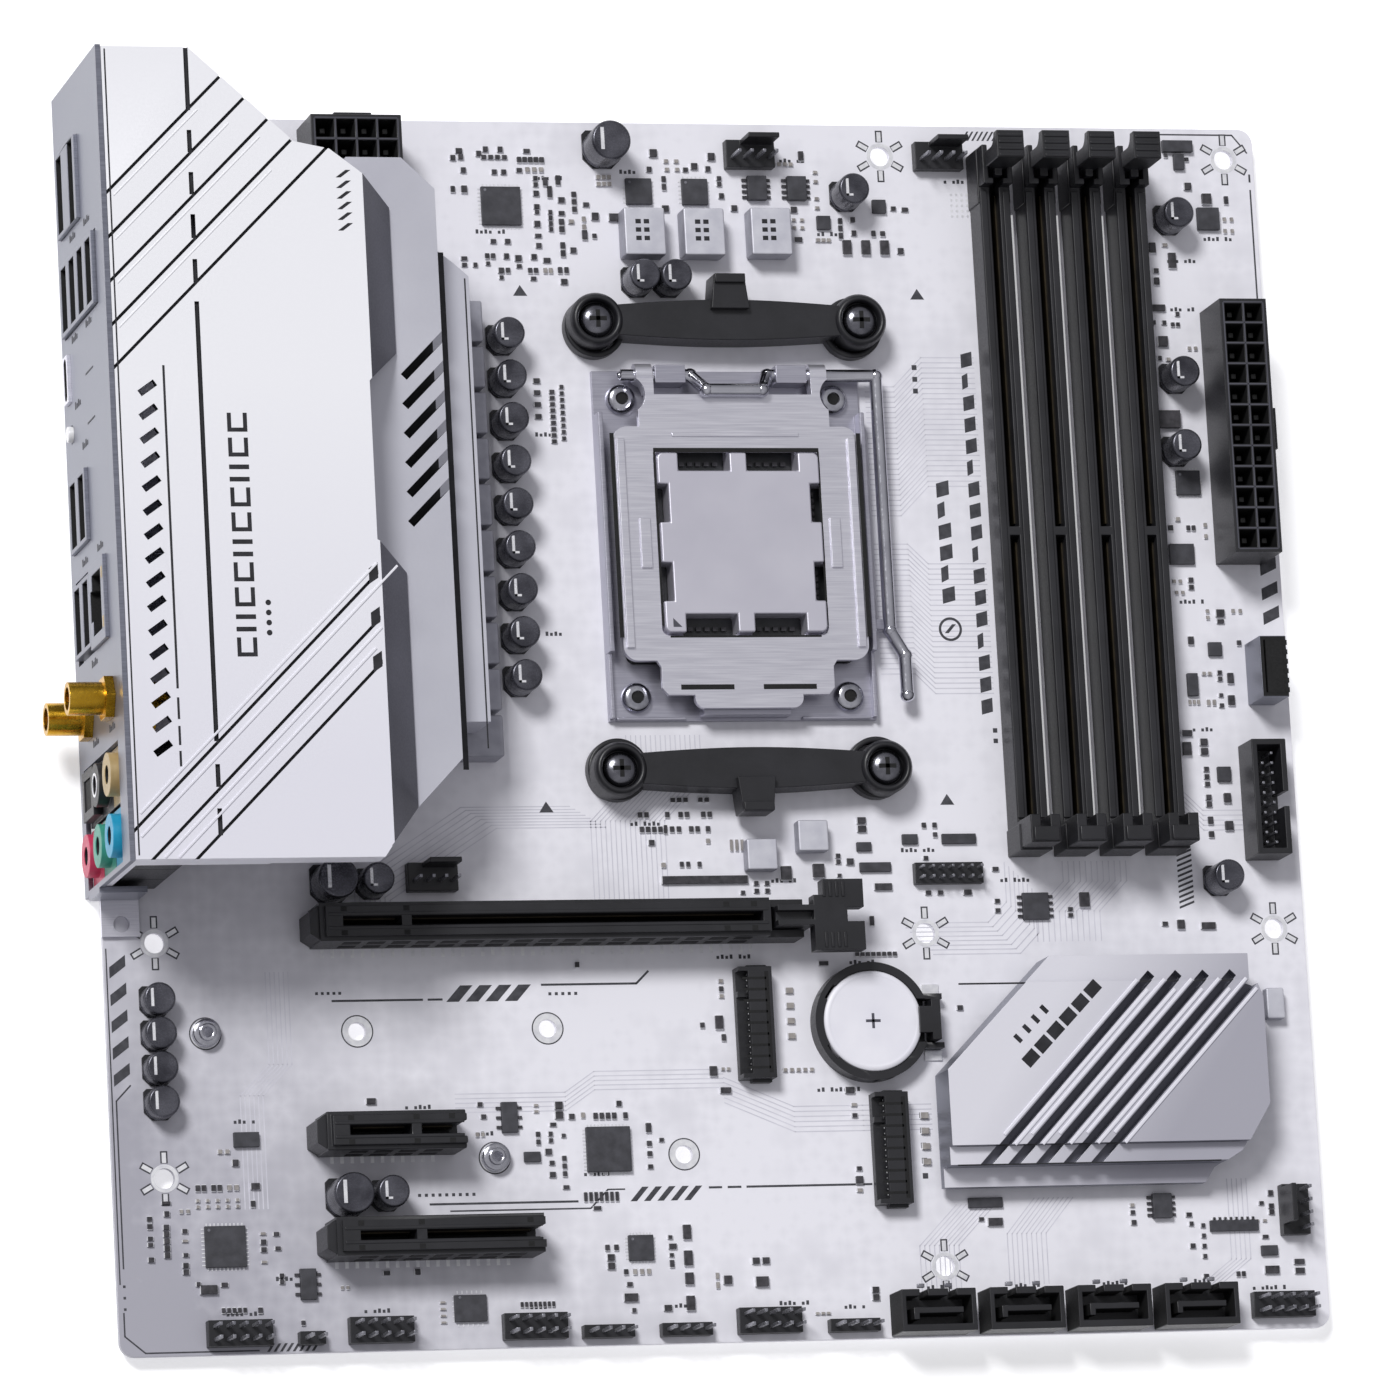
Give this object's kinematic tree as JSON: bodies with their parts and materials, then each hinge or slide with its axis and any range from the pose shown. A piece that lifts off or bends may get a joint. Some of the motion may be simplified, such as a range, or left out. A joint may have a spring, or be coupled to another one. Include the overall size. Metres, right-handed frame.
{
  "type": "computer motherboard",
  "caption": "Square micro-ATX computer board with a clamped processor, card slots with latches, finned silver heatsinks, a rear port cover and plug headers.",
  "frame": {"origin": "axis of the rear corner mounting hole below the rear cover, at the board's underside", "axes": "+X away from the rear ports, +Y towards the processor power plug, +Z out of the component side"},
  "size_m": [0.2547, 0.2479, 0.0444],
  "materials": {
    "white_solder_mask": "satin printed board",
    "dark_steel": "black lacquer",
    "black_nylon": "fine moulded matte",
    "chip_carrier": "green laminate",
    "nickel_plate": "satin nickel",
    "stamped_steel": "brushed stainless",
    "screw_steel": "machined",
    "gold_plate": "gold flash over brass",
    "silver_coated_aluminium": "silver white powder coat",
    "black_epoxy": "moulded epoxy",
    "thermal_pad": "soft silicone",
    "grey_ferrite": "sintered ferrite",
    "panel_steel": "plated sheet",
    "white_button": "moulded",
    "can_sleeve": "dark lacquered can",
    "solder": "reflowed solder"
  },
  "bodies": {
    "board": {"circuit_board": "white_solder_mask", "cpu_backplate": "dark_steel", "socket_body": "black_nylon", "processor_substrate": "chip_carrier", "heat_spreader": "nickel_plate", "socket_frame": "stamped_steel", "socket_screws": "screw_steel", "cooler_bracket_top": "black_nylon", "cooler_bracket_bottom": "black_nylon", "cooler_bracket_screws": "screw_steel", "memory_slot_1": "black_nylon", "memory_slot_2": "black_nylon", "memory_slot_3": "black_nylon", "memory_slot_4": "black_nylon", "graphics_slot": "black_nylon", "short_slot": "black_nylon", "medium_slot": "black_nylon", "slot_contacts": "gold_plate", "drive_socket_upper": "black_nylon", "drive_socket_lower": "black_nylon", "drive_standoffs": "screw_steel", "battery_holder": "black_nylon", "coin_cell": "nickel_plate", "chipset_heatsink": "silver_coated_aluminium", "chipset_chip": "black_epoxy", "thermal_pads": "thermal_pad", "heatsink_screws": "screw_steel", "vrm_heatsink": "silver_coated_aluminium", "io_cover": "silver_coated_aluminium", "chips": "black_epoxy", "chokes": "grey_ferrite", "io_shield": "panel_steel", "usb_ports": "panel_steel", "port_tongues": "black_nylon", "display_ports": "panel_steel", "usb_c_port": "panel_steel", "network_port": "panel_steel", "audio_jacks": "black_nylon", "optical_port": "black_nylon", "antenna_connectors": "gold_plate", "bios_button_body": "black_nylon", "main_power_connector": "black_nylon", "processor_power_connector": "black_nylon", "connector_pins": "gold_plate", "fan_headers": "black_nylon", "pin_headers": "black_nylon", "front_usb_header": "black_nylon", "front_usb_c_header": "panel_steel", "sata_ports": "black_nylon", "capacitors": "can_sleeve", "solder_joints": "solder"},
    "load_plate": {"load_plate": "stamped_steel"},
    "load_lever": {"load_lever": "nickel_plate"},
    "memory_latch_1": {"memory_latch_1": "black_nylon"},
    "memory_latch_2": {"memory_latch_2": "black_nylon"},
    "memory_latch_3": {"memory_latch_3": "black_nylon"},
    "memory_latch_4": {"memory_latch_4": "black_nylon"},
    "graphics_slot_latch": {"graphics_slot_latch": "black_nylon"},
    "battery_catch": {"battery_catch": "black_nylon"},
    "bios_button": {"bios_button": "white_button"}
  },
  "joints": [
    {"name": "load_lever_hinge", "type": "hinge", "parent": "board", "child": "load_lever", "pos_m": [0.1199, 0.1115, 0.0056], "axis": [-1, 0, 0], "range_deg": [0, 120]},
    {"name": "load_plate_hinge", "type": "hinge", "parent": "board", "child": "load_plate", "pos_m": [0.1199, 0.1115, 0.0056], "axis": [-1, 0, 0], "range_deg": [0, 105]},
    {"name": "memory_latch_1_hinge", "type": "hinge", "parent": "board", "child": "memory_latch_1", "pos_m": [0.1762, 0.154, 0.005], "axis": [-1, 0, 0], "range_deg": [0, 25]},
    {"name": "memory_latch_2_hinge", "type": "hinge", "parent": "board", "child": "memory_latch_2", "pos_m": [0.1857, 0.154, 0.005], "axis": [-1, 0, 0], "range_deg": [0, 25]},
    {"name": "memory_latch_3_hinge", "type": "hinge", "parent": "board", "child": "memory_latch_3", "pos_m": [0.1952, 0.154, 0.005], "axis": [-1, 0, 0], "range_deg": [0, 25]},
    {"name": "memory_latch_4_hinge", "type": "hinge", "parent": "board", "child": "memory_latch_4", "pos_m": [0.2047, 0.154, 0.005], "axis": [-1, 0, 0], "range_deg": [0, 25]},
    {"name": "graphics_latch_hinge", "type": "hinge", "parent": "board", "child": "graphics_slot_latch", "pos_m": [0.1245, 0.0021, 0.006], "axis": [0, 1, 0], "range_deg": [0, 15]},
    {"name": "battery_catch_hinge", "type": "hinge", "parent": "board", "child": "battery_catch", "pos_m": [0.1546, -0.0179, 0.0027], "axis": [0, 1, 0], "range_deg": [0, 12], "stiffness_Nm_per_rad": 0.02},
    {"name": "bios_button_slide", "type": "slide", "parent": "board", "child": "bios_button", "axis": [1, 0, 0], "range_m": [0, 0.001], "stiffness_N_per_m": 400}
  ],
  "couplings": [
    {"joint": "load_lever_hinge", "follows": "load_plate_hinge", "ratio": 1.1429}
  ]
}
